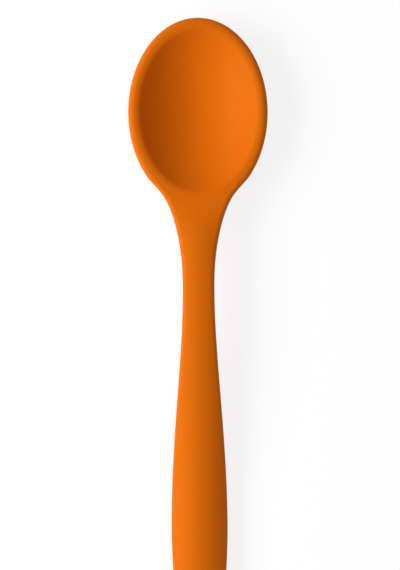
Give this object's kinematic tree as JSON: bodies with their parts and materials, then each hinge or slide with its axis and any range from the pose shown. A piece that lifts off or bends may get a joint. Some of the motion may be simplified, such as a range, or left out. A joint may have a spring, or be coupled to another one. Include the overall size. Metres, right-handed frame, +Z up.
{
  "type": "mixing spoon",
  "caption": "Seamless silicone mixing spoon: an oval bowl with a rolled lip, a slim neck and a flaring crowned handle with a hanging hole, moulded over a stiff core.",
  "frame": {"origin": "bottom centre of the bounding box, with the spoon lying on its back, its hollow upwards", "axes": "+Z up out of the bowl's hollow, +Y along the spoon towards the bowl's tip, X across"},
  "size_m": [0.062, 0.28, 0.0192],
  "materials": {
    "silicone": "matte orange silicone with a fine mould texture",
    "tang_steel": "blanked stainless strip, dull",
    "former_nylon": "glass-filled nylon, natural grey-tan"
  },
  "bodies": {
    "root": {"silicone_skin": "silicone", "steel_tang": "tang_steel", "bowl_former": "former_nylon"}
  },
  "joints": []
}
